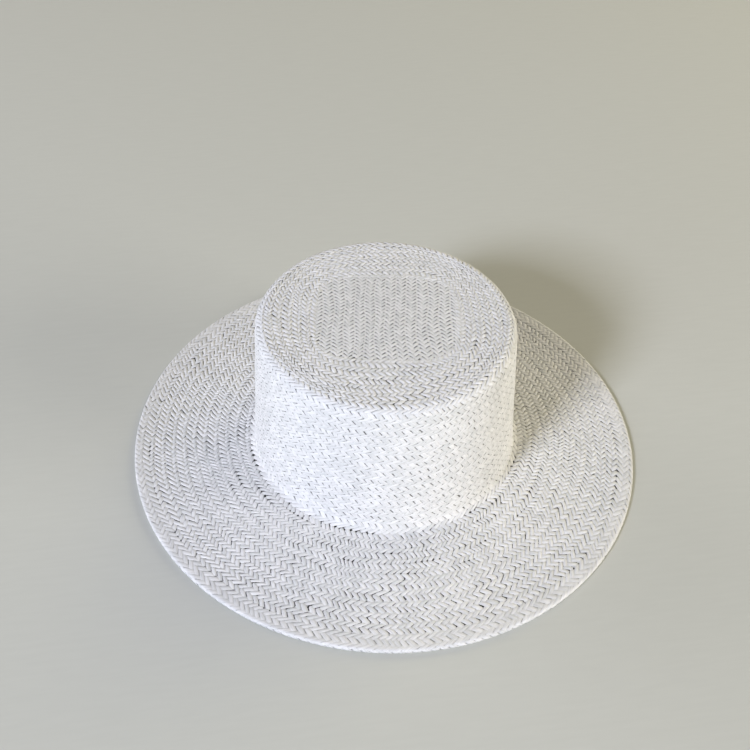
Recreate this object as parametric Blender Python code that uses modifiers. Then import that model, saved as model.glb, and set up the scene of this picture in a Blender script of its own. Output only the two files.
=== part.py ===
"""White woven paper straw hat with a flat tip, an upright crown and a wide flat brim.

The whole hat is one woven sheet. It runs from the middle of the tip over the shoulder, down the
crown, out along the brim and round the edge, where it is turned under and pressed flat as a hem.
Metres, +Z up. The hat stands on its hem at z = 0, with its front towards -Y.
"""

import math

import bpy
from mathutils import Vector

# The sheet
WALL = 0.0015

# The head opening, measured inside the foot of the crown
HEAD_LENGTH = 0.189
HEAD_WIDTH = 0.179

# The crown, measured outside
CROWN_HEIGHT = 0.108
TIP_LENGTH = 0.180
TIP_DOME = 0.0015
SHOULDER_RADIUS = 0.007
ROOT_RADIUS = 0.005

# The brim, its width measured at the front and at the back
BRIM_WIDTH = 0.089
BRIM_RISE = 0.0035

# The hem, with the narrow gap that is left inside the pressed fold
HEM_WIDTH = 0.010
HEM_GAP = 0.0004

# How finely the shape is faceted
RING_STEPS = 72
TIP_STEPS = 5
SHOULDER_STEPS = 5
WALL_STEPS = 3
ROOT_STEPS = 5
BRIM_STEPS = 5
FOLD_STEPS = 8
MERGE_DISTANCE = 0.00001
SHARP_ANGLE = math.radians(50)

# The straw's look
STRAW_COLOUR = (0.80, 0.80, 0.78, 1.0)
STRAW_ROUGHNESS = 0.75

# What follows from the sizes above
OVAL = HEAD_WIDTH / HEAD_LENGTH
FOOT_RADIUS = HEAD_LENGTH / 2 + WALL
RIM_RADIUS = FOOT_RADIUS + BRIM_WIDTH
FOLD_RADIUS = WALL + HEM_GAP / 2
FOLD_CENTRE = RIM_RADIUS - FOLD_RADIUS
HEM_TOP = 2 * FOLD_RADIUS
BRIM_ROOT_TOP = HEM_TOP + BRIM_RISE
TIP_EDGE_TOP = CROWN_HEIGHT - TIP_DOME
WALL_LEAN = math.atan2(FOOT_RADIUS - TIP_LENGTH / 2, TIP_EDGE_TOP - BRIM_ROOT_TOP)


def clear_scene():
    """Starts from an empty scene."""
    for item in list(bpy.data.objects):
        bpy.data.objects.remove(item, do_unlink=True)


def make_collection(name):
    """A collection of that name under the scene."""
    group = bpy.data.collections.new(name)
    bpy.context.scene.collection.children.link(group)
    return group


def make_straw_material():
    """Bleached paper straw: a chalky white with hardly any shine."""
    material = bpy.data.materials.new("bleached_paper_straw")
    material.use_nodes = True
    shader = material.node_tree.nodes["Principled BSDF"]
    shader.inputs["Base Color"].default_value = STRAW_COLOUR
    shader.inputs["Roughness"].default_value = STRAW_ROUGHNESS
    shader.inputs["Metallic"].default_value = 0.0
    return material


def arc(centre, radius, start, end, steps):
    """Points (r, z) on an arc, both ends included. Angles count from +r towards +z."""
    points = []
    for step in range(steps + 1):
        angle = start + (end - start) * step / steps
        points.append((centre[0] + radius * math.cos(angle), centre[1] + radius * math.sin(angle)))
    return points


def line(start, end, steps):
    """Points (r, z) between two points, neither of them included."""
    points = []
    for step in range(1, steps):
        share = step / steps
        points.append((start[0] + (end[0] - start[0]) * share, start[1] + (end[1] - start[1]) * share))
    return points


def shoulder_points():
    """The rounded edge between the tip and the leaning wall."""
    reach = SHOULDER_RADIUS * (1 - math.sin(WALL_LEAN)) / math.cos(WALL_LEAN)
    centre = (TIP_LENGTH / 2 - reach, TIP_EDGE_TOP - SHOULDER_RADIUS)
    return arc(centre, SHOULDER_RADIUS, math.pi / 2, WALL_LEAN, SHOULDER_STEPS)


def tip_points(edge):
    """The tip, from its middle out to its edge, domed a little."""
    points = []
    for step in range(TIP_STEPS):
        share = step / TIP_STEPS
        points.append((edge[0] * share, edge[1] + TIP_DOME * (1 - share * share)))
    return points


def root_points():
    """The soft hollow where the wall turns out into the brim."""
    reach = ROOT_RADIUS * (1 - math.sin(WALL_LEAN)) / math.cos(WALL_LEAN)
    centre = (FOOT_RADIUS + reach, BRIM_ROOT_TOP + ROOT_RADIUS)
    return arc(centre, ROOT_RADIUS, math.pi + WALL_LEAN, 1.5 * math.pi, ROOT_STEPS)


def brim_points(start):
    """The top of the brim, from its root down to the flat band over the hem."""
    band = (RIM_RADIUS - HEM_WIDTH, HEM_TOP)
    points = []
    for step in range(1, BRIM_STEPS + 1):
        share = step / BRIM_STEPS
        eased = share * share * (3 - 2 * share)
        points.append((start[0] + (band[0] - start[0]) * share, start[1] + (band[1] - start[1]) * eased))
    return points


def hem_points():
    """Round the fold at the rim, and back under the brim to the end of the hem."""
    fold = arc((FOLD_CENTRE, FOLD_RADIUS), FOLD_RADIUS, math.pi / 2, -math.pi / 2, FOLD_STEPS)
    return fold + [(RIM_RADIUS - HEM_WIDTH, 0.0)]


def body_profile():
    """The outer face of the sheet as points (r, z), from the middle of the tip to the hem."""
    shoulder = shoulder_points()
    root = root_points()
    wall = line(shoulder[-1], root[0], WALL_STEPS)
    return tip_points(shoulder[0]) + shoulder + wall + root + brim_points(root[-1]) + hem_points()


def turn_profile(points):
    """The profile turned a full round by a Screw modifier, as a mesh."""
    mesh = bpy.data.meshes.new("body_profile")
    edges = [(index, index + 1) for index in range(len(points) - 1)]
    mesh.from_pydata([(r, 0.0, z) for r, z in points], edges, [])
    turned = bpy.data.objects.new("body_profile", mesh)
    bpy.context.scene.collection.objects.link(turned)
    screw = turned.modifiers.new("turn", "SCREW")
    screw.axis = "Z"
    screw.angle = 2 * math.pi
    screw.steps = RING_STEPS
    screw.render_steps = RING_STEPS
    screw.use_merge_vertices = True
    screw.merge_threshold = MERGE_DISTANCE
    graph = bpy.context.evaluated_depsgraph_get()
    skin = bpy.data.meshes.new_from_object(turned.evaluated_get(graph))
    bpy.data.objects.remove(turned, do_unlink=True)
    return skin


def ease_to_oval(mesh):
    """Narrows the round skin to the head's oval. The fold keeps its own round section."""
    for vertex in mesh.vertices:
        flat = Vector((vertex.co.x, vertex.co.y))
        if flat.length == 0:
            continue
        out = flat.normalized()
        inner = out * min(flat.length, FOLD_CENTRE)
        normal = Vector((out.x, out.y * OVAL)).normalized()
        moved = Vector((inner.x * OVAL, inner.y)) + normal * (flat.length - inner.length)
        vertex.co.x = moved.x
        vertex.co.y = moved.y


def make_woven_body(group, material):
    """Tip, crown, brim and hem: one woven sheet with its thickness inwards."""
    skin = turn_profile(body_profile())
    ease_to_oval(skin)
    skin.name = "woven_body"
    skin.materials.clear()
    skin.materials.append(material)
    skin.shade_smooth()
    skin.set_sharp_from_angle(angle=SHARP_ANGLE)
    body = bpy.data.objects.new("woven_body", skin)
    group.objects.link(body)
    sheet = body.modifiers.new("sheet", "SOLIDIFY")
    sheet.thickness = WALL
    sheet.offset = -1.0
    sheet.use_even_offset = True
    sheet.use_quality_normals = True
    return body


def build():
    """Models the whole hat."""
    clear_scene()
    group = make_collection("straw_hat")
    make_woven_body(group, make_straw_material())


build()
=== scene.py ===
"""A white straw hat, woven from bleached paper straw, lying on its brim on a pale table.

The weave is a 2/2 twill: each strand runs over two strands and under two. It is laid in rings, so
that one ring of floats slants one way and the next ring the other way. Every float that shows is
modelled, on both faces of the hat, over a thin layer that stands for the strands running beneath.
Blocking pulled the sheet, so the floats lean a little and lie closer one way than the other.
"""

import math

import bmesh
import bpy
import numpy as np
from mathutils import Matrix, Vector


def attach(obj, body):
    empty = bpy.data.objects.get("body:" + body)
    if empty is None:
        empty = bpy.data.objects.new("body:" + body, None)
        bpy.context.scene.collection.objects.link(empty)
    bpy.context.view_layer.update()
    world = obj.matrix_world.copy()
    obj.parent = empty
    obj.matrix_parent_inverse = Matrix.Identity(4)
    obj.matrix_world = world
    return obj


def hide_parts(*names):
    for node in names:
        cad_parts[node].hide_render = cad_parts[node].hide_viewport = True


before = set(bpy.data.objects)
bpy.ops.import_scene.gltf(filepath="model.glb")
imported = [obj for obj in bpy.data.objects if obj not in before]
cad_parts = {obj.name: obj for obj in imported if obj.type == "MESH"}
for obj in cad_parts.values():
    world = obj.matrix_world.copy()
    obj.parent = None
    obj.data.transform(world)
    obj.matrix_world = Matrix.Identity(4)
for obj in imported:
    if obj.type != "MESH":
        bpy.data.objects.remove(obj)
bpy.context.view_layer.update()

# The blocked sheet in metres, with the same sizes as in the part
WALL = 0.0015
HEAD_LENGTH = 0.189
HEAD_WIDTH = 0.179
CROWN_HEIGHT = 0.108
TIP_LENGTH = 0.180
TIP_DOME = 0.0015
SHOULDER_RADIUS = 0.007
ROOT_RADIUS = 0.005
BRIM_WIDTH = 0.089
BRIM_RISE = 0.0035
HEM_WIDTH = 0.010
HEM_GAP = 0.0004

# What follows from those sizes
OVAL = HEAD_WIDTH / HEAD_LENGTH
FOOT_RADIUS = HEAD_LENGTH / 2 + WALL
RIM_RADIUS = FOOT_RADIUS + BRIM_WIDTH
FOLD_RADIUS = WALL + HEM_GAP / 2
FOLD_CENTRE = RIM_RADIUS - FOLD_RADIUS
HEM_TOP = 2 * FOLD_RADIUS
BRIM_ROOT_TOP = HEM_TOP + BRIM_RISE
TIP_EDGE_TOP = CROWN_HEIGHT - TIP_DOME
WALL_LEAN = math.atan2(FOOT_RADIUS - TIP_LENGTH / 2, TIP_EDGE_TOP - BRIM_ROOT_TOP)
TIP_EDGE = TIP_LENGTH / 2 - SHOULDER_RADIUS * (1 - math.sin(WALL_LEAN)) / math.cos(WALL_LEAN)

# How finely the form is followed
TIP_STEPS = 8
SHOULDER_STEPS = 16
WALL_STEPS = 12
ROOT_STEPS = 12
BRIM_STEPS = 24
FOLD_STEPS = 20
LAYER_STEPS = 96
RING_SAMPLES = 1440
MERGE_DISTANCE = 0.00001
TOUCH = 0.000001

# The patch of straight twill in the middle of the tip, half its width and half its length
PATCH_WIDTH = 0.0455
PATCH_LENGTH = 0.0427
PATCH_SQUARENESS = 4.0
PATCH_TURN = math.radians(-9.7)
PATCH_RIB = 0.00350
PATCH_STEP = 0.00365

# The tip's rings lose the patch's square corners on their way out, the sooner the smaller this is
CORNER_FADE = 0.7

# The floats along the patch's border reach past it by this share of a rib, and dive under the rings
BORDER_REACH = 0.6
BORDER_START = 0.85
BORDER_SINK = 0.0002

# The rings below the patch. Blocking spread them: close on the tip, wider round wall and brim
TIP_RINGS = 11
WALL_RING = 0.00326
BRIM_RING = 0.00395
WALL_FLOATS = 116
BRIM_RADII = (0.098, 0.105, 0.125, 0.164, 0.185)
BRIM_FLOATS = (150, 178, 204, 218, 226)

# How high up the root's hollow, and how far out from the crown's foot, the brim's rings begin
ROOT_FOOT = 0.0004
ROOT_SHARE = 0.7

# Where the floats of every other ring or rib begin, as shares of a float
ODD_PHASE = 0.25
EVEN_PHASE = 0.75

# Where strands are added: unevenness of their order and angle, width of the step that each makes,
# and the share of the crowding that is evened out from ring to ring
ORDER_SPREAD = 0.3
ANGLE_SPREAD = 0.06
STEP_WIDTH = 1.1
EVENING = 0.14

# A strand's usual width, how far its float tucks under its neighbours, how much narrower the ends
# are and how late that begins. A float is two strands long between its neighbours
STRAND_WIDTH = 0.0029
TUCK = 0.16
CORNER_CUT = 0.18
CORNER_CURVE = 5

# How high a float's middle stands over the sheet's face, and how far and how late its sides and
# its ends drop from there
CREST = 0.00026
SIDE_DROP = 0.00046
SIDE_CURVE = 3.0
END_DROP = 0.00056
END_CURVE = 2.2

# Where a float's cross-sections lie, in strands from its middle, and their points from side to side.
# Those of the hem bend round the fold, and those of the inner face are plainer
FLOAT_REACH = 1 + TUCK
FINE_STATIONS = (-FLOAT_REACH, -0.75, 0.0, 0.75, FLOAT_REACH)
BENT_STATIONS = (-FLOAT_REACH, -0.9, -0.6, -0.3, 0.0, 0.3, 0.6, 0.9, FLOAT_REACH)
PLAIN_STATIONS = (-FLOAT_REACH, -0.6, 0.6, FLOAT_REACH)
FLAT_TOPPED = (-1, -0.55, 0.55, 1)
RIDGED = (-1, 0, 1)
SHARP_ANGLE = math.radians(55)

# The share of its width that a float fills: where it runs the way of the pull, where it runs across
# it, and in the patch for the floats that run back to the left and back to the right
TIGHT_COVER = 0.995
LOOSE_COVER = 0.92
PATCH_LEFT_COVER = 0.895
PATCH_RIGHT_COVER = 0.85

# How blocking pulled the sheet: the pull's heading from +X towards +Y, the share of a pair of rings
# by which one grows taller, and how far the floats lean in each part
PULL_HEADING = math.radians(35)
PULL = 0.10
TIP_SKEW = 0.0
WALL_SKEW = 0.30
BRIM_SKEW = 0.12

# How far rows and rings waver, in floats and rings, the waves that add up to it, their lengths in
# floats, and how many floats it takes to die out where a ring closes
ROW_WAVER = 0.30
RING_WAVER = 0.15
WAVES = 9
SHORTEST_WAVE = 7
LONGEST_WAVE = 24
SEAM_FLOATS = 6

# The relief left by the block: the wall is pulled tight and the hem is pressed
PATCH_RELIEF = 0.8
TIP_RELIEF = 1.6
WALL_RELIEF = 0.62
BRIM_RELIEF = 1.35
HEM_RELIEF = 0.85
FOLD_RELIEF = 0.5

# The unevenness of weaving: turn, width, length, bow, tilt and rise of a float, and its place
TURN_SPREAD = math.radians(1.6)
WIDTH_SPREAD = 0.03
LENGTH_SPREAD = 0.02
BOW_SPREAD = 0.02
TILT_SPREAD = 0.00005
RISE_SPREAD = 0.00005
ROW_SPREAD = 0.025
RING_SPREAD = 0.012

# The layer beneath the floats, painted as shade. Its steep faces are those of shoulder, wall and root
LAYER_DEPTH = 0.00072
LAYER_THICKNESS = 0.00030
# Faces steeper than this get a lighter painted shade than the rest of the layer
STEEP = 0.85
# The hem's faintest painted shade begins this far inside its edge
HEM_MARGIN = 0.0005

# Millimetres in a metre, the most in mm that a float's creases are shifted, and the draws' seed
MILLIMETRES = 1000
CREASE_SHIFT = 500
SEED = 7


# The hat's form

def arc(centre, radius, start, end, steps):
    """Points (r, z) on an arc, both ends included."""
    angles = np.linspace(start, end, steps + 1)
    return [(centre[0] + radius * math.cos(a), centre[1] + radius * math.sin(a)) for a in angles]


def line(start, end, steps):
    """Points (r, z) between two points, neither of them included."""
    shares = np.linspace(0, 1, steps + 1)[1:-1]
    return [tuple(np.add(start, np.multiply(np.subtract(end, start), share))) for share in shares]


def brim_line(start, end, steps):
    """Points (r, z) on the brim's top, which falls away softly. The end is included."""
    points = []
    for share in np.linspace(0, 1, steps + 1)[1:]:
        eased = share * share * (3 - 2 * share)
        points.append((start[0] + (end[0] - start[0]) * share, start[1] + (end[1] - start[1]) * eased))
    return points


def outer_profile():
    """The outer face below the tip, as points (r, z), from the tip's edge round to the hem's end."""
    shoulder_centre = (TIP_EDGE, TIP_EDGE_TOP - SHOULDER_RADIUS)
    shoulder = arc(shoulder_centre, SHOULDER_RADIUS, math.pi / 2, WALL_LEAN, SHOULDER_STEPS)
    reach = ROOT_RADIUS * (1 - math.sin(WALL_LEAN)) / math.cos(WALL_LEAN)
    root_centre = (FOOT_RADIUS + reach, BRIM_ROOT_TOP + ROOT_RADIUS)
    root = arc(root_centre, ROOT_RADIUS, math.pi + WALL_LEAN, 1.5 * math.pi, ROOT_STEPS)
    wall = line(shoulder[-1], root[0], WALL_STEPS)
    band = RIM_RADIUS - HEM_WIDTH
    brim = brim_line(root[-1], (band, HEM_TOP), BRIM_STEPS)
    fold = arc((FOLD_CENTRE, FOLD_RADIUS), FOLD_RADIUS, math.pi / 2, -math.pi / 2, FOLD_STEPS)
    return np.array(shoulder + wall + root + brim + fold + [(band, 0.0)])


PROFILE = outer_profile()
STEPS_ALONG = np.hypot(*np.diff(PROFILE, axis=0).T)
ALONG = np.concatenate([[0.0], np.cumsum(STEPS_ALONG)])
TURN = np.gradient(PROFILE, ALONG, axis=0)
NORMAL = np.stack([-TURN[:, 1], TURN[:, 0]], axis=1)
NORMAL /= np.linalg.norm(NORMAL, axis=1)[:, None]


def distance_at_radius(radius):
    """How far along the profile the top of the brim reaches a radius."""
    top = (PROFILE[:, 1] > HEM_TOP - TOUCH) & (PROFILE[:, 1] < BRIM_ROOT_TOP + ROOT_FOOT)
    return float(np.interp(radius, PROFILE[top, 0], ALONG[top]))


# Whole numbers of rings fit the wall and the brim
FOOT_DISTANCE = distance_at_radius(FOOT_RADIUS + ROOT_RADIUS * ROOT_SHARE)
FOOT_RING = TIP_RINGS + int(round(FOOT_DISTANCE / WALL_RING))
ALL_RINGS = FOOT_RING + int(round((ALONG[-1] - FOOT_DISTANCE) / BRIM_RING))
RING_MARKS = [TIP_RINGS, FOOT_RING, ALL_RINGS]
DISTANCE_MARKS = [0.0, FOOT_DISTANCE, ALONG[-1]]
HEM_START_RING = int(np.interp(distance_at_radius(RIM_RADIUS - HEM_WIDTH), DISTANCE_MARKS, RING_MARKS))


def turned(x, y, turn):
    """Points x, y turned round the middle of the tip."""
    return x * np.cos(turn) - y * np.sin(turn), x * np.sin(turn) + y * np.cos(turn)


def on_dome(x, y, lift):
    """Points on the domed tip over x and y."""
    share = ((x / OVAL) ** 2 + y ** 2) / TIP_EDGE ** 2
    return np.stack([x, y, TIP_EDGE_TOP + TIP_DOME * (1 - share) + lift], axis=-1)


def on_tip(ring, angle, lift):
    """Points on the tip. Its rings are rounded squares near the patch and ovals at its edge."""
    share = ring / TIP_RINGS
    half_width = PATCH_WIDTH + (TIP_EDGE * OVAL - PATCH_WIDTH) * share
    half_length = PATCH_LENGTH + (TIP_EDGE - PATCH_LENGTH) * share
    power = PATCH_SQUARENESS + (2.0 - PATCH_SQUARENESS) * np.clip(share, 0, 1) ** CORNER_FADE
    turn = PATCH_TURN * (1 - share)
    across, along = np.cos(angle - turn), np.sin(angle - turn)
    swell = (np.abs(across) ** power + np.abs(along) ** power) ** (-1 / power)
    x, y = turned(half_width * swell * across, half_length * swell * along, turn)
    return on_dome(x, y, lift)


def below_tip(ring, angle, lift):
    """Points on the shoulder, wall, root, brim, fold and hem."""
    distance = np.interp(ring, RING_MARKS, DISTANCE_MARKS)
    radius = np.interp(distance, ALONG, PROFILE[:, 0])
    height = np.interp(distance, ALONG, PROFILE[:, 1])
    out = np.interp(distance, ALONG, NORMAL[:, 0])
    up = np.interp(distance, ALONG, NORMAL[:, 1])
    length = np.hypot(out, up)
    radius = radius + lift * out / length
    height = height + lift * up / length
    across, along = np.cos(angle), np.sin(angle)
    inner = np.minimum(radius, FOLD_CENTRE)
    slant = np.hypot(across, along * OVAL)
    x = inner * OVAL * across + (radius - inner) * across / slant
    y = inner * along + (radius - inner) * along * OVAL / slant
    return np.stack([x, y, height], axis=-1)


def on_hat(ring, angle, lift):
    """Points on the hat's outer face, moved out by lift."""
    ring, angle, lift = np.broadcast_arrays(ring, angle, lift)
    tip = on_tip(ring, angle, lift)
    low = below_tip(np.maximum(ring, TIP_RINGS), angle, lift)
    return np.where((ring < TIP_RINGS)[..., None], tip, low)


# The lay of the strands

ANGLES = np.linspace(0, 2 * math.pi, RING_SAMPLES + 1)


def length_round(ring):
    """The length round a ring, counted up to each angle."""
    points = on_hat(ring, ANGLES, 0.0)
    return np.concatenate([[0.0], np.cumsum(np.linalg.norm(np.diff(points, axis=0), axis=1))])


def floats_wanted(ring):
    """How many floats one ring holds."""
    first = length_round(0.0)[-1] / PATCH_STEP
    if ring < TIP_RINGS:
        return int(round(first + (WALL_FLOATS - first) * ring / TIP_RINGS))
    if ring < FOOT_RING:
        return WALL_FLOATS
    if ring > HEM_START_RING:
        return BRIM_FLOATS[-1]
    radius = np.interp(np.interp(ring, RING_MARKS, DISTANCE_MARKS), ALONG, PROFILE[:, 0])
    return int(round(np.interp(radius, BRIM_RADII, BRIM_FLOATS)))


def next_count(count, even, wanted, shuffle):
    """A ring's count of floats up to each angle, from that of the ring before it."""
    added = wanted - int(round(count[-1] - count[0]))
    need = even - (count - count[0])
    stepped = count.copy()
    for number in range(added):
        level = number + 0.5 + shuffle.uniform(-ORDER_SPREAD, ORDER_SPREAD)
        place = ANGLES[np.argmax(need >= level)] + shuffle.uniform(-ANGLE_SPREAD, ANGLE_SPREAD)
        width = STEP_WIDTH * 2 * math.pi / wanted
        stepped += 0.5 + 0.5 * np.tanh((ANGLES - place) / width)
    drift = even - (stepped - stepped[0])
    relaxed = stepped + EVENING * (drift - drift.mean())
    relaxed += (wanted - (relaxed[-1] - relaxed[0])) * ANGLES / (2 * math.pi)
    return relaxed


def lay_rings(shuffle):
    """For each ring, the count of floats up to each angle. Added strands make small local steps."""
    counts = []
    for index in range(ALL_RINGS):
        length = length_round(index + 0.5)
        wanted = floats_wanted(index + 0.5)
        even = length / length[-1] * wanted
        counts.append(next_count(counts[-1], even, wanted, shuffle) if counts else even)
    return counts


def relief_at(ring):
    """How strongly the weave stands out in a ring."""
    hem = HEM_START_RING
    places = [TIP_RINGS, TIP_RINGS + 3, FOOT_RING - 2, FOOT_RING + 1, hem - 1, hem + 0.5, hem + 2]
    strengths = [TIP_RELIEF, WALL_RELIEF, WALL_RELIEF, BRIM_RELIEF, BRIM_RELIEF, HEM_RELIEF, FOLD_RELIEF]
    return float(np.interp(ring, places, strengths))


def skew_at(ring):
    """How far the floats of a ring lean over, as a share of its height."""
    places = [TIP_RINGS - 1, TIP_RINGS + 3, FOOT_RING - 2, FOOT_RING + 2]
    return np.interp(ring, places, [TIP_SKEW, WALL_SKEW, WALL_SKEW, BRIM_SKEW])


def skew_drift(index):
    """How far the leaning of all the rings up to this one has carried its floats back."""
    skews = skew_at(np.arange(index + 1) + 0.5)
    return float(np.sum(skews[1:] + skews[:-1]) / 2)


def pulled_cover(angle, slant):
    """The share of its width that a float fills. Those that run the way of the pull lie closest."""
    heading = angle + math.pi / 2 - slant * math.pi / 4
    return TIGHT_COVER + (LOOSE_COVER - TIGHT_COVER) * np.sin(heading - PULL_HEADING) ** 2


def pulled_rings(ring, angle):
    """The rings after the pull. Of each pair, the one whose floats run across the pull is the taller."""
    pair = np.floor(ring / 2) * 2
    share = ring - pair
    even = 1 + 2 * PULL * np.cos(2 * angle)
    return pair + np.where(share < 1, share * even, even + (share - 1) * (2 - even))


def wavering(first, second, seed):
    """A smooth unevenness over two counts of floats, between about -1 and 1."""
    shuffle = np.random.default_rng(seed)
    total = 0.0
    for wave in range(WAVES):
        period = shuffle.uniform(SHORTEST_WAVE, LONGEST_WAVE)
        heading = shuffle.uniform(0, math.pi)
        step = 2 * math.pi / period * (first * math.cos(heading) + second * math.sin(heading))
        total = total + np.sin(step + shuffle.uniform(0, 2 * math.pi))
    return total / math.sqrt(WAVES)


# The floats

def make_float(stations, sides, name):
    """One float of a strand: a ribbon with rounded sides, bent down where it dives under others.

    Its length and width are in strand widths, its height in metres.
    """
    brick = bmesh.new()
    uv = brick.loops.layers.uv.new("strand")
    bmesh.ops.create_grid(brick, x_segments=len(stations) - 1, y_segments=len(sides) - 1, size=0.5)
    for vertex in brick.verts:
        along = stations[round((vertex.co.x + 0.5) * (len(stations) - 1))]
        side = sides[round((vertex.co.y + 0.5) * (len(sides) - 1))]
        drop = SIDE_DROP * abs(side) ** SIDE_CURVE
        share = abs(along) / FLOAT_REACH
        dive = END_DROP * share ** END_CURVE
        half_width = 1 - CORNER_CUT * share ** CORNER_CURVE
        vertex.co = Vector((along, side / 2 * half_width, CREST - drop - dive))
    edge = [item for item in brick.edges if item.is_boundary]
    bmesh.ops.contextual_create(brick, geom=edge)
    bmesh.ops.recalc_face_normals(brick, faces=brick.faces)
    scale = STRAND_WIDTH * MILLIMETRES
    for face in brick.faces:
        for loop in face.loops:
            loop[uv].uv = (loop.vert.co.x * scale, loop.vert.co.y * scale)
    mesh = bpy.data.meshes.new(name)
    brick.to_mesh(mesh)
    brick.free()
    return mesh


def float_arrays(mesh):
    """The float's corners, faces and UVs as arrays, ready to be repeated."""
    points = np.array([vertex.co[:] for vertex in mesh.vertices])
    faces = [list(face.vertices) for face in mesh.polygons]
    uvs = np.array([item.vector[:] for item in mesh.uv_layers["strand"].uv])
    return points, faces, uvs


def turned_corners(points, slants, shuffle, cover, relief, skew=0.0):
    """The float's corners turned to each slant, with the small unevenness of weaving."""
    number = len(slants)
    turn = slants * math.pi / 4 + shuffle.normal(0, TURN_SPREAD, number)
    widths = shuffle.normal(0, WIDTH_SPREAD, number) + cover
    lengths = shuffle.normal(1.0, LENGTH_SPREAD, number)
    along = points[None, :, 0] * lengths[:, None]
    side = points[None, :, 1] * widths[:, None]
    bow = shuffle.normal(0, BOW_SPREAD, number)
    side = side + bow[:, None] * (1 - along ** 2)
    round_ring = along * np.cos(turn)[:, None] - side * np.sin(turn)[:, None]
    down_ring = along * np.sin(turn)[:, None] + side * np.cos(turn)[:, None]
    tilt = shuffle.normal(0, TILT_SPREAD, number)
    rise = shuffle.normal(0, RISE_SPREAD, number)
    lift = relief * (points[None, :, 2] + rise[:, None] + tilt[:, None] * side)
    return (round_ring - skew * down_ring) / math.sqrt(2), down_ring / math.sqrt(2), lift


def ring_floats(template, counts, rings, shuffle, outside=True):
    """The corners of every float in some rings, on the outer or the inner face."""
    points = template[0]
    placed = []
    for index in rings:
        count = counts[index]
        number = int(round(count[-1] - count[0]))
        slant = 1.0 if index % 2 else -1.0
        phase = ODD_PHASE if index % 2 else EVEN_PHASE
        if not outside:
            slant, phase = -slant, phase + 0.5
        phase = (phase - skew_drift(index)) % 1
        centres = np.arange(number) + phase + shuffle.normal(0, ROW_SPREAD, number)
        cover = pulled_cover(np.interp(centres + count[0], count, ANGLES), slant)
        relief, skew = relief_at(index + 0.5), skew_at(index + 0.5)
        slants = np.full(number, slant)
        around, down, lift = turned_corners(points, slants, shuffle, cover, relief, skew)
        wanted = centres[:, None] + around
        turns = np.floor(wanted / number)
        within = wanted - turns * number + count[0]
        # The waver dies out towards the place where the ring closes
        bend = np.minimum(1.0, np.minimum(wanted, number - wanted) / SEAM_FLOATS)
        within = within + ROW_WAVER * bend * wavering(wanted, index + down, SEED)
        angle = np.interp(np.clip(within, count[0], count[-1]), count, ANGLES) + turns * 2 * math.pi
        ring = index + 0.5 + shuffle.normal(0, RING_SPREAD, number)[:, None] + down
        ring = ring + RING_WAVER * bend * wavering(wanted, ring, SEED + 1)
        ring = np.clip(pulled_rings(ring, angle), 0, ALL_RINGS)
        if not outside:
            lift = -WALL - lift
        placed.append(on_hat(ring, angle, lift))
    return np.concatenate(placed)


def patch_floats(template, shuffle, outside=True):
    """The corners of the floats in the patch of straight twill, its ribs running front to back."""
    reach_x = PATCH_WIDTH + BORDER_REACH * PATCH_RIB
    reach_y = PATCH_LENGTH + BORDER_REACH * PATCH_STEP
    centres, slants, sunk = [], [], []
    last = int(PATCH_WIDTH / PATCH_RIB) + 2
    for column in range(-last, last + 1):
        odd = column % 2
        for row in range(-last, last + 1):
            x = (column + 0.5) * PATCH_RIB
            y = (row + (ODD_PHASE if odd else EVEN_PHASE)) * PATCH_STEP
            reached = abs(x / reach_x) ** PATCH_SQUARENESS + abs(y / reach_y) ** PATCH_SQUARENESS
            if reached < 1:
                centres.append((x, y))
                slants.append(1.0 if odd else -1.0)
                sunk.append(BORDER_SINK if reached > BORDER_START else 0.0)
    centres = np.array(centres)
    slants = np.array(slants) * (1 if outside else -1)
    cover = np.where(slants > 0, PATCH_RIGHT_COVER, PATCH_LEFT_COVER)
    along, across, lift = turned_corners(template[0], slants, shuffle, cover, PATCH_RELIEF)
    lift = lift - np.array(sunk)[:, None]
    x = centres[:, 0, None] + across * PATCH_RIB
    y = centres[:, 1, None] + along * PATCH_STEP
    first, second = x / PATCH_RIB, y / PATCH_STEP
    x, y = turned(x + ROW_WAVER * PATCH_RIB * wavering(first, second, SEED + 2),
                  y + ROW_WAVER * PATCH_STEP * wavering(first, second, SEED + 3), PATCH_TURN)
    if not outside:
        lift = -WALL - lift
    return on_dome(x, y, lift)


def repeat_float(name, template, places, material):
    """One piece of many floats. places holds the corners of each, in the template's order."""
    points, faces, uvs = template
    number, size = places.shape[0], places.shape[1]
    mesh = bpy.data.meshes.new(name)
    starts = np.arange(number) * size
    all_faces = [[corner + int(start) for corner in face] for start in starts for face in faces]
    mesh.from_pydata(places.reshape(-1, 3).tolist(), [], all_faces)
    shuffle = np.random.default_rng(SEED + len(name))
    layer = mesh.uv_layers.new(name="strand")
    offsets = shuffle.uniform(0, CREASE_SHIFT, (number, 1, 2))
    layer.data.foreach_set("uv", (uvs[None, :, :] + offsets).reshape(-1))
    tone = mesh.attributes.new("strand_tone", "FLOAT", "POINT")
    tone.data.foreach_set("value", np.repeat(shuffle.uniform(0, 1, number), size))
    mesh.materials.append(material)
    mesh.shade_smooth()
    mesh.set_sharp_from_angle(angle=SHARP_ANGLE)
    piece = bpy.data.objects.new(name, mesh)
    bpy.context.scene.collection.objects.link(piece)
    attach(piece, "root")


# The layer beneath the floats

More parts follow.
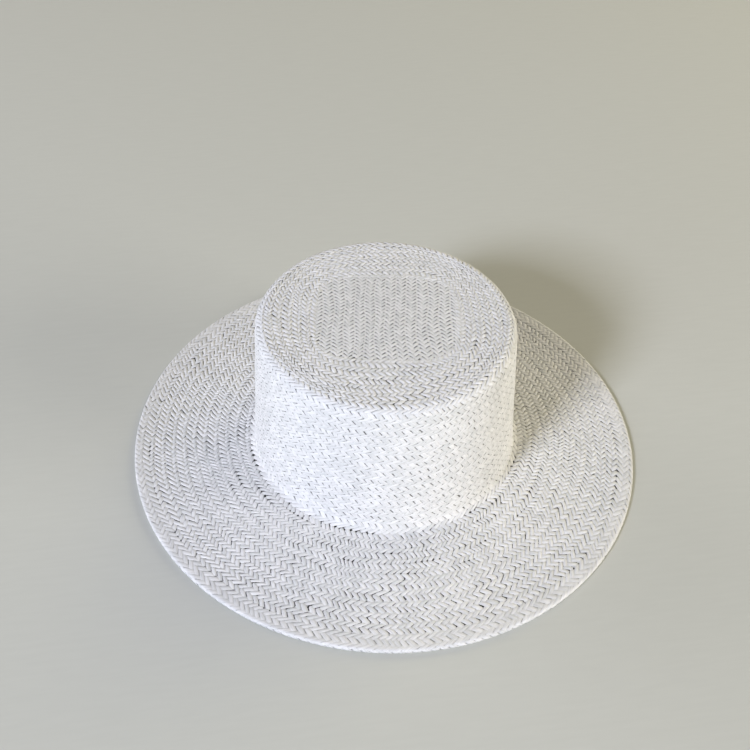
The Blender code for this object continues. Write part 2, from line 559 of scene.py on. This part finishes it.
def turn_layer(points):
    """A profile spun a full round into a skin, then eased to the head's oval."""
    skin = bmesh.new()
    corners = [skin.verts.new((r, 0.0, z)) for r, z in points]
    for first, second in zip(corners, corners[1:]):
        skin.edges.new((first, second))
    bmesh.ops.spin(skin, geom=skin.verts[:] + skin.edges[:], cent=(0, 0, 0), axis=(0, 0, 1),
                   angle=2 * math.pi, steps=LAYER_STEPS, use_merge=True)
    bmesh.ops.remove_doubles(skin, verts=skin.verts, dist=MERGE_DISTANCE)
    bmesh.ops.recalc_face_normals(skin, faces=skin.faces)
    for vertex in skin.verts:
        flat = Vector((vertex.co.x, vertex.co.y))
        if flat.length < TOUCH:
            continue
        out = flat.normalized()
        inner = out * min(flat.length, FOLD_CENTRE)
        normal = Vector((out.x, out.y * OVAL)).normalized()
        moved = Vector((inner.x * OVAL, inner.y)) + normal * (flat.length - inner.length)
        vertex.co.x, vertex.co.y = moved
    return skin


def add_underlayer(deep_painted_shade, half_painted_shade, hem_painted_shade):
    """The strands that run beneath the floats: a closed layer inside the sheet.

    It is painted dark, as shade, under the open weave. The painted shade is lighter where the sheet
    is pulled tight round shoulder, wall and root, and palest, nearly white, in the hem.
    """
    tip = []
    for share in np.linspace(0, 1, TIP_STEPS + 1)[:-1]:
        tip.append((TIP_EDGE * share, TIP_EDGE_TOP + TIP_DOME * (1 - share * share) - LAYER_DEPTH))
    low = PROFILE - NORMAL * LAYER_DEPTH
    skin = turn_layer(tip + [tuple(point) for point in low])
    mesh = bpy.data.meshes.new("underlayer")
    skin.to_mesh(mesh)
    skin.free()
    # The layer is painted in shade: darkest under the open weave, lighter on steep faces, faintest in the hem
    for shade in (deep_painted_shade, half_painted_shade, hem_painted_shade):
        mesh.materials.append(shade)
    hem = RIM_RADIUS - HEM_WIDTH - HEM_MARGIN
    for face in mesh.polygons:
        if math.hypot(face.center.x / OVAL, face.center.y) > hem:
            face.material_index = 2
        elif abs(face.normal.z) < STEEP:
            face.material_index = 1
    mesh.shade_smooth()
    piece = bpy.data.objects.new("underlayer", mesh)
    bpy.context.scene.collection.objects.link(piece)
    sheet = piece.modifiers.new("strands", "SOLIDIFY")
    sheet.thickness = LAYER_THICKNESS
    sheet.offset = -1.0
    sheet.use_quality_normals = True
    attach(piece, "root")
    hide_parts("woven_body")


# Materials

def linear(hex_colour):
    """An sRGB hex colour as linear red, green, blue and an alpha of 1."""
    values = [int(hex_colour[i:i + 2], 16) / 255 for i in (1, 3, 5)]
    return [v / 12.92 if v <= 0.04045 else ((v + 0.055) / 1.055) ** 2.4 for v in values] + [1.0]


def add_node(material, kind, settings=None, values=None, links=None):
    """One shader node with its settings, socket values and links from other nodes' sockets."""
    node = material.node_tree.nodes.new(kind)
    for key, value in (settings or {}).items():
        setattr(node, key, value)
    for key, value in (values or {}).items():
        node.inputs[key].default_value = value
    for key, socket in (links or {}).items():
        material.node_tree.links.new(socket, node.inputs[key])
    return node


def bare_material(name):
    """A material with only its Principled shader, and that shader."""
    material = bpy.data.materials.new(name)
    material.use_nodes = True
    return material, material.node_tree.nodes["Principled BSDF"]


def colour_stops(node, stops):
    """Sets a colour ramp's stops from (position, hex colour) pairs."""
    ramp = node.color_ramp
    while len(ramp.elements) > len(stops):
        ramp.elements.remove(ramp.elements[-1])
    while len(ramp.elements) < len(stops):
        ramp.elements.new(0.5)
    for element, (position, colour) in zip(ramp.elements, stops):
        element.position = position
        element.color = linear(colour)


def bleached_paper_straw():
    """Bleached paper straw: ribbon of twisted paper, pressed flat and whitened.

    To the eye it is a chalky white with fine creases along each strand, a faint change of white
    from strand to strand and hardly any shine.
    """
    material, shader = bare_material("bleached_paper_straw")
    uv = add_node(material, "ShaderNodeUVMap", {"uv_map": "strand"})
    stretch = add_node(material, "ShaderNodeMapping", values={"Scale": (0.12, 1.0, 1.0)},
                       links={"Vector": uv.outputs["UV"]})
    # The UV map is in millimetres. Real creases are about 0.2 mm apart, too fine to show, so these
    # are 0.6 mm apart across the strand and 5 mm long
    creases = add_node(material, "ShaderNodeTexNoise", values={"Scale": 1.7, "Detail": 3.0, "Roughness": 0.6},
                       links={"Vector": stretch.outputs["Vector"]})
    tone = add_node(material, "ShaderNodeAttribute", {"attribute_name": "strand_tone"})
    strand_white = add_node(material, "ShaderNodeValToRGB", links={"Fac": tone.outputs["Fac"]})
    colour_stops(strand_white, [(0.0, "#dcdcdb"), (0.5, "#e5e4e3"), (1.0, "#ecebea")])
    # The creases' hollows, low in the noise that also drives the bump, are painted darker: painted shade
    crease_painted_shade = add_node(material, "ShaderNodeValToRGB", links={"Fac": creases.outputs["Fac"]})
    colour_stops(crease_painted_shade, [(0.30, "#d4d4d3"), (0.55, "#ffffff")])
    mixed = add_node(material, "ShaderNodeMix", {"data_type": "RGBA", "blend_type": "MULTIPLY"},
                     {0: 0.55},
                     {6: strand_white.outputs["Color"], 7: crease_painted_shade.outputs["Color"]})
    bump = add_node(material, "ShaderNodeBump", values={"Strength": 0.35, "Distance": 0.00012},
                    links={"Height": creases.outputs["Fac"]})
    material.node_tree.links.new(mixed.outputs[2], shader.inputs["Base Color"])
    material.node_tree.links.new(bump.outputs["Normal"], shader.inputs["Normal"])
    shader.inputs["Roughness"].default_value = 0.5
    shader.inputs["Specular IOR Level"].default_value = 0.5
    shader.inputs["Sheen Weight"].default_value = 0.08
    shader.inputs["Sheen Roughness"].default_value = 0.6
    return material


def shaded_strands(name, dark, light):
    """The same straw painted in shade, for where it lies beneath the floats and little light reaches it."""
    material, shader = bare_material(name)
    place = add_node(material, "ShaderNodeTexCoord")
    # The painted shade varies in patches of 4 mm, about the size of a crossing
    patches = add_node(material, "ShaderNodeTexNoise", values={"Scale": 240.0, "Detail": 2.0},
                       links={"Vector": place.outputs["Object"]})
    shade = add_node(material, "ShaderNodeValToRGB", links={"Fac": patches.outputs["Fac"]})
    colour_stops(shade, [(0.35, dark), (0.65, light)])
    material.node_tree.links.new(shade.outputs["Color"], shader.inputs["Base Color"])
    shader.inputs["Roughness"].default_value = 0.85
    shader.inputs["Specular IOR Level"].default_value = 0.2
    return material


def painted_table():
    """Painted board: a flat pale grey paint with almost no shine."""
    material, shader = bare_material("painted_board")
    place = add_node(material, "ShaderNodeTexCoord")
    # Brush marks a few millimetres wide run from side to side, too faint to see one by one
    stretch = add_node(material, "ShaderNodeMapping", values={"Scale": (1.0, 8.0, 1.0)},
                       links={"Vector": place.outputs["Object"]})
    marks = add_node(material, "ShaderNodeTexNoise", values={"Scale": 40.0, "Detail": 2.0},
                     links={"Vector": stretch.outputs["Vector"]})
    paint = add_node(material, "ShaderNodeValToRGB", links={"Fac": marks.outputs["Fac"]})
    colour_stops(paint, [(0.3, "#c7c8c1"), (0.7, "#c9cac3")])
    material.node_tree.links.new(paint.outputs["Color"], shader.inputs["Base Color"])
    shader.inputs["Roughness"].default_value = 0.7
    shader.inputs["Specular IOR Level"].default_value = 0.3
    return material


# The set. The camera was fitted to the outlines of the hat in the photograph
LENS = 51.94
SENSOR_WIDTH = 36.0
CAMERA_AIM = Vector((0.0041, 0.0630, 0.0))
CAMERA_DISTANCE = 0.8229
CAMERA_PITCH = math.radians(41.74)
CAMERA_HEADING = math.radians(9.7)
CAMERA_ROLL = math.radians(0.92)
TABLE_HALF_WIDTH = 3.0
TABLE_GAP = 0.0003


def add_camera():
    """The camera, at the photograph's angle."""
    lens = bpy.data.cameras.new("camera")
    lens.lens = LENS
    lens.sensor_width = SENSOR_WIDTH
    lens.clip_start = 0.01
    camera = bpy.data.objects.new("camera", lens)
    ahead = Vector((math.sin(CAMERA_HEADING) * math.cos(CAMERA_PITCH),
                    math.cos(CAMERA_HEADING) * math.cos(CAMERA_PITCH), -math.sin(CAMERA_PITCH)))
    right = ahead.cross(Vector((0, 0, 1))).normalized()
    up = right.cross(ahead)
    turned_right = right * math.cos(CAMERA_ROLL) + up * math.sin(CAMERA_ROLL)
    turned_up = up * math.cos(CAMERA_ROLL) - right * math.sin(CAMERA_ROLL)
    turn = Matrix((turned_right, turned_up, -ahead)).transposed()
    camera.matrix_world = Matrix.Translation(CAMERA_AIM - ahead * CAMERA_DISTANCE) @ turn.to_4x4()
    bpy.context.scene.collection.objects.link(camera)
    bpy.context.scene.camera = camera


def add_table():
    """A plain pale table top, just under the floats of the hem."""
    skin = bmesh.new()
    bmesh.ops.create_grid(skin, x_segments=1, y_segments=1, size=TABLE_HALF_WIDTH)
    bmesh.ops.translate(skin, verts=skin.verts, vec=(0, 0, -TABLE_GAP))
    mesh = bpy.data.meshes.new("table_top")
    skin.to_mesh(mesh)
    skin.free()
    mesh.materials.append(painted_table())
    table = bpy.data.objects.new("table_top", mesh)
    bpy.context.scene.collection.objects.link(table)


def add_soft_light(name, side, height, distance, size, power, colour):
    """A square soft light that faces the hat. Side and height are in degrees.

    The side counts from where the camera stands, round to the right.
    """
    data = bpy.data.lights.new(name, "AREA")
    data.shape = "SQUARE"
    data.size = size
    data.energy = power
    data.color = linear(colour)[:3]
    light = bpy.data.objects.new(name, data)
    heading = math.radians(side)
    back = Vector((-math.sin(CAMERA_HEADING), -math.cos(CAMERA_HEADING), 0))
    right = Vector((math.cos(CAMERA_HEADING), -math.sin(CAMERA_HEADING), 0))
    flat = back * math.cos(heading) + right * math.sin(heading)
    rise = math.radians(height)
    place = flat * math.cos(rise) * distance + Vector((0, 0, math.sin(rise) * distance))
    light.matrix_world = Matrix.Translation(place) @ place.to_track_quat("Z", "Y").to_matrix().to_4x4()
    bpy.context.scene.collection.objects.link(light)


def add_room_light(colour, strength):
    """Even light from the room."""
    world = bpy.data.worlds.new("room")
    world.use_nodes = True
    background = world.node_tree.nodes["Background"]
    background.inputs["Color"].default_value = linear(colour)
    background.inputs["Strength"].default_value = strength
    bpy.context.scene.world = world


def add_lights():
    """Cool light from a window in front on the left, with a soft shadow, and warm light behind."""
    add_soft_light("window_light", side=-38, height=31, distance=5.0, size=1.0,
                   power=224.0, colour="#e9edff")
    add_soft_light("low_window_light", side=-45, height=12, distance=4.2, size=2.3,
                   power=39.0, colour="#dcf0ff")
    add_soft_light("side_light", side=70, height=12, distance=4.2, size=2.3,
                   power=142.0, colour="#fffaee")
    add_soft_light("warm_back_light", side=140, height=30, distance=4.2, size=2.3,
                   power=54.0, colour="#fff2b8")
    add_soft_light("left_fill_light", side=-120, height=20, distance=4.2, size=2.3,
                   power=43.0, colour="#fffcff")
    add_room_light("#fff8f0", strength=0.115)


# The hat

def add_weave():
    """Every float of the weave, on both faces."""
    straw = bleached_paper_straw()
    shuffle = np.random.default_rng(SEED)
    counts = lay_rings(shuffle)
    fine = float_arrays(make_float(FINE_STATIONS, FLAT_TOPPED, "fine_float"))
    bent = float_arrays(make_float(BENT_STATIONS, FLAT_TOPPED, "bent_float"))
    plain = float_arrays(make_float(PLAIN_STATIONS, RIDGED, "plain_float"))
    tip_rings = range(0, TIP_RINGS)
    wall_rings = range(TIP_RINGS, FOOT_RING)
    brim_rings = range(FOOT_RING, HEM_START_RING)
    hem_rings = range(HEM_START_RING, ALL_RINGS)
    tip = [patch_floats(fine, shuffle), ring_floats(fine, counts, tip_rings, shuffle)]
    repeat_float("tip_weave", fine, np.concatenate(tip), straw)
    repeat_float("wall_weave", fine, ring_floats(fine, counts, wall_rings, shuffle), straw)
    repeat_float("brim_weave", fine, ring_floats(fine, counts, brim_rings, shuffle), straw)
    repeat_float("hem_weave", bent, ring_floats(bent, counts, hem_rings, shuffle), straw)
    inner_tip = [patch_floats(plain, shuffle, False), ring_floats(plain, counts, tip_rings, shuffle, False)]
    repeat_float("tip_inside_weave", plain, np.concatenate(inner_tip), straw)
    inner_wall = ring_floats(plain, counts, wall_rings, shuffle, False)
    repeat_float("wall_inside_weave", plain, inner_wall, straw)
    under_brim = ring_floats(plain, counts, brim_rings, shuffle, False)
    repeat_float("brim_underside_weave", plain, under_brim, straw)


bpy.context.scene.view_settings.view_transform = "Standard"
add_camera()
add_table()
add_lights()
# The layer beneath the floats in three painted shades: darkest, lighter on steep faces, faintest in the hem
add_underlayer(shaded_strands("straw_painted_deep_shade", "#2b2a28", "#4c4a47"),
               shaded_strands("straw_painted_half_shade", "#716f6b", "#8d8b87"),
               shaded_strands("hem_straw_painted_faint_shade", "#b6b5b0", "#c4c3be"))
add_weave()
